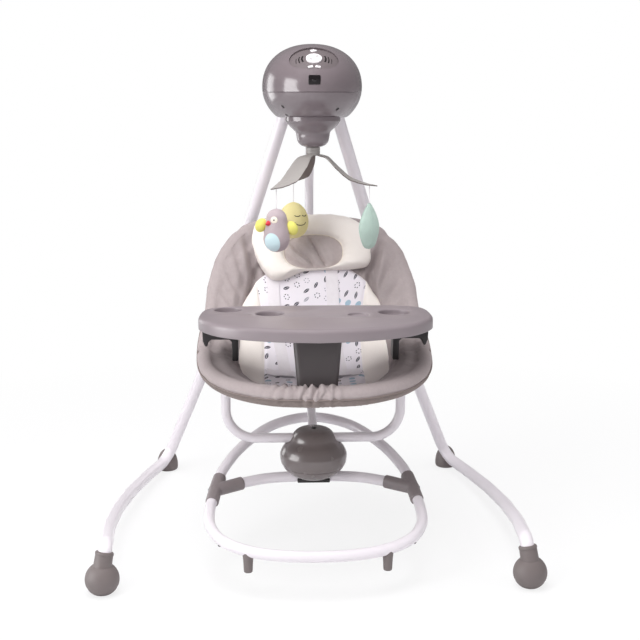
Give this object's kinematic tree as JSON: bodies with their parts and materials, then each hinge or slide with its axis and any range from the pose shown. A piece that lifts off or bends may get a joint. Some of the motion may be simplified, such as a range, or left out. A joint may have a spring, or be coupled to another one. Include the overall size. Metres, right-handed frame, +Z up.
{
  "type": "electric baby swing",
  "caption": "Free-standing infant swing: tube stand, motor head with a leaf mobile, and a hanging rocker seat with a tray.",
  "frame": {"origin": "on the floor under the centre of the whole swing", "axes": "+Z up, -Y towards the front where the tray and the control panel face, +X to the right"},
  "size_m": [0.8896, 0.8221, 1.036],
  "materials": {
    "white_powder_coat": "smooth white powder coat on steel tube",
    "taupe_plastic": "glossy warm grey moulded plastic",
    "pod_plastic": "glossy dark warm grey moulded plastic",
    "foot_rubber": "satin dark warm grey rubber",
    "black_plastic": "glossy black moulded plastic",
    "bare_steel": "plain zinc plated steel",
    "brass": "plain brass",
    "circuit_board": "green solder mask on laminate",
    "white_plastic": "white moulded plastic key",
    "seat_fabric": "plain woven polyester over foam",
    "print_fabric": "printed cotton with a small repeated motif",
    "cream_fabric": "soft cream knit over fibre filling",
    "webbing": "white woven polyester webbing",
    "tray_plastic": "satin warm grey moulded plastic",
    "leaf_plastic": "matte grey moulded plastic",
    "taupe_plush": "short pile plush over fibre filling",
    "yellow_plush": "short pile plush over fibre filling",
    "mint_plush": "short pile plush over fibre filling"
  },
  "bodies": {
    "stand": {"left_upper_tube": "white_powder_coat", "right_upper_tube": "white_powder_coat", "left_floor_tube": "white_powder_coat", "right_floor_tube": "white_powder_coat", "front_left_foot": "foot_rubber", "front_right_foot": "foot_rubber", "rear_left_foot": "foot_rubber", "rear_right_foot": "foot_rubber", "head_top_shell": "taupe_plastic", "head_base_shell": "taupe_plastic", "mobile_bowl": "taupe_plastic", "control_panel": "taupe_plastic", "sensor_window": "black_plastic", "speaker": "black_plastic", "circuit_board": "circuit_board", "power_inlet": "black_plastic", "drive_motor": "bare_steel", "head_chassis": "bare_steel", "swing_axle": "bare_steel"},
    "swing": {"axle_bush": "brass", "swing_hub": "black_plastic", "swing_arm": "white_powder_coat", "pod_upper_shell": "pod_plastic", "pod_lower_shell": "pod_plastic", "pod_clip": "black_plastic", "seat_u_tube": "white_powder_coat", "left_recline_base": "black_plastic", "right_recline_base": "black_plastic", "rocker_loop": "white_powder_coat", "rocker_arch": "white_powder_coat", "rocker_cross_tube": "white_powder_coat", "left_connector": "taupe_plastic", "right_connector": "taupe_plastic", "left_rocker_peg": "foot_rubber", "right_rocker_peg": "foot_rubber"},
    "seat": {"left_recline_cheek": "black_plastic", "right_recline_cheek": "black_plastic", "seat_hoop": "white_powder_coat", "seat_pad": "seat_fabric", "seat_lip": "seat_fabric", "print_insert": "print_fabric", "head_pillow": "cream_fabric", "harness": "webbing", "left_tray_bracket": "black_plastic", "right_tray_bracket": "black_plastic"},
    "tray": {"tray": "tray_plastic", "crotch_post": "black_plastic"},
    "mobile": {"mobile_hub": "leaf_plastic", "leaf_arms": "leaf_plastic"},
    "bird": {"bird_toy": "taupe_plush"},
    "egg": {"egg_toy": "yellow_plush"},
    "leaf": {"leaf_toy": "mint_plush"},
    "pinion": {"drive_pinion": "brass"},
    "power": {"power_button": "white_plastic"},
    "pad": {"mode_pad": "white_plastic"},
    "left_key": {"left_key": "white_plastic"},
    "right_key": {"right_key": "white_plastic"},
    "release": {"release_button": "black_plastic"},
    "left_lock": {"left_snap_button": "bare_steel"},
    "right_lock": {"right_snap_button": "bare_steel"}
  },
  "joints": [
    {"name": "swing", "type": "hinge", "parent": "stand", "child": "swing", "pos_m": [0, 0.0645, 0.925], "axis": [0, 1, 0], "range_deg": [-12, 12]},
    {"name": "drive", "type": "hinge", "parent": "stand", "child": "pinion", "pos_m": [0, 0.06, 0.965], "axis": [0, 1, 0], "range_deg": [-48, 48]},
    {"name": "recline", "type": "hinge", "parent": "swing", "child": "seat", "pos_m": [0, -0.11, 0.357], "axis": [1, 0, 0], "range_deg": [-5, 0]},
    {"name": "tray_height", "type": "slide", "parent": "seat", "child": "tray", "axis": [0, 0, 1], "range_m": [0, 0.06]},
    {"name": "mobile_turn", "type": "hinge", "parent": "stand", "child": "mobile", "pos_m": [0, -0.105, 0.8137], "axis": [0, 0, 1], "continuous": true},
    {"name": "leaf_sway", "type": "hinge", "parent": "mobile", "child": "leaf", "pos_m": [0.11209, -0.12577, 0.75208], "axis": [0.9833, -0.1822, 0], "range_deg": [-15, 15]},
    {"name": "egg_sway", "type": "hinge", "parent": "mobile", "child": "egg", "pos_m": [-0.03805, 0.00246, 0.75208], "axis": [-0.3338, 0.9426, 0], "range_deg": [-15, 15]},
    {"name": "bird_sway", "type": "hinge", "parent": "mobile", "child": "bird", "pos_m": [-0.07404, -0.19169, 0.75208], "axis": [-0.6494, -0.7604, 0], "range_deg": [-15, 15]},
    {"name": "power_press", "type": "slide", "parent": "stand", "child": "power", "axis": [0, 0.2763, -0.9611], "range_m": [0, 0.0012], "stiffness_N_per_m": 400},
    {"name": "mode_press", "type": "slide", "parent": "stand", "child": "pad", "axis": [0, 0.5116, -0.8592], "range_m": [0, 0.0012], "stiffness_N_per_m": 400},
    {"name": "left_key_press", "type": "slide", "parent": "stand", "child": "left_key", "axis": [0.0877, 0.7087, -0.7], "range_m": [0, 0.0012], "stiffness_N_per_m": 400},
    {"name": "right_key_press", "type": "slide", "parent": "stand", "child": "right_key", "axis": [-0.0877, 0.7087, -0.7], "range_m": [0, 0.0012], "stiffness_N_per_m": 400},
    {"name": "release_press", "type": "slide", "parent": "swing", "child": "release", "axis": [0, 0, -1], "range_m": [0, 0.0012], "stiffness_N_per_m": 400},
    {"name": "left_lock_press", "type": "slide", "parent": "stand", "child": "left_lock", "axis": [0.9571, 0.1035, -0.2708], "range_m": [0, 0.004], "stiffness_N_per_m": 400},
    {"name": "right_lock_press", "type": "slide", "parent": "stand", "child": "right_lock", "axis": [-0.9571, 0.1035, -0.2708], "range_m": [0, 0.004], "stiffness_N_per_m": 400}
  ],
  "couplings": [
    {"joint": "drive", "follows": "swing", "ratio": -4}
  ]
}
